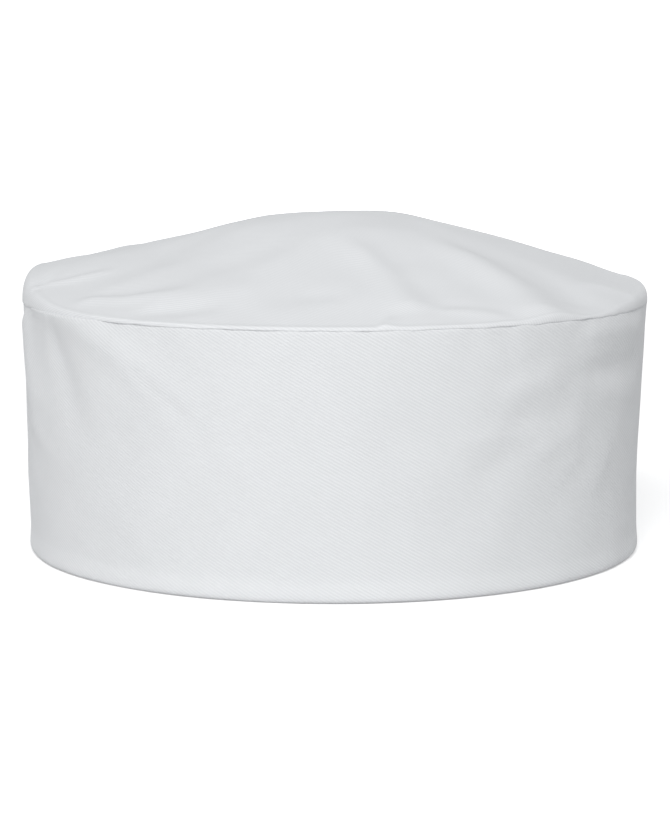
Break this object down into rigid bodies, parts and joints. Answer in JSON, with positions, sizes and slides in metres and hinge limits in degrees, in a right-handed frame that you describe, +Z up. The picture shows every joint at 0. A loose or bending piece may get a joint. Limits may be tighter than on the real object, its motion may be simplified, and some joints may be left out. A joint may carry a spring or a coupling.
{
  "type": "chef toque",
  "caption": "Flat-topped white twill chef's cap: stiffened upright side band, low domed round crown, and a hook-and-loop strap across an arch at the back.",
  "frame": {"origin": "middle of the hem circle, on the surface that the cap stands on", "axes": "+Z up through the crown, -Y to the front of the cap, +X to the right as the front is seen; the strap is at +Y"},
  "size_m": [0.2, 0.2, 0.107],
  "materials": {
    "white_twill": "matt poly-cotton twill",
    "interlining": "matt stiff non-woven",
    "facing_cloth": "matt plain weave",
    "binding_tape": "matt bias tape",
    "sweatband_cotton": "soft matt cotton",
    "label_satin": "semi-gloss satin ribbon",
    "thread": "slightly glossy polyester thread",
    "hook_tape": "nylon hooks",
    "loop_tape": "nylon pile"
  },
  "bodies": {
    "cap": {"crown_panel": "white_twill", "side_band": "white_twill", "band_interlining": "interlining", "band_facing": "facing_cloth", "crown_seam_tape": "binding_tape", "crown_tape_stitching": "thread", "sweatband": "sweatband_cotton", "sweatband_stitching": "thread", "sweatband_overlock": "thread", "care_label": "label_satin", "care_label_stitching": "thread", "arch_binding": "binding_tape", "arch_binding_stitching": "thread", "strap_root": "white_twill", "strap_root_stitching": "thread", "loop_patch": "loop_tape", "loop_patch_stitching": "thread", "left_bartack": "thread", "right_bartack": "thread"},
    "strap_bridge": {"strap_bridge": "white_twill"},
    "strap_tip": {"strap_tip": "white_twill", "strap_tip_stitching": "thread", "hook_patch": "hook_tape"}
  },
  "joints": [
    {"name": "strap_root_fold", "type": "hinge", "parent": "cap", "child": "strap_bridge", "pos_m": [-0.04242, 0.09056, 0.0145], "axis": [0, 0, 1], "range_deg": [0, 120]},
    {"name": "strap_tip_peel", "type": "hinge", "parent": "strap_bridge", "child": "strap_tip", "pos_m": [0.04242, 0.09056, 0.0145], "axis": [0, 0, 1], "range_deg": [0, 120]}
  ]
}
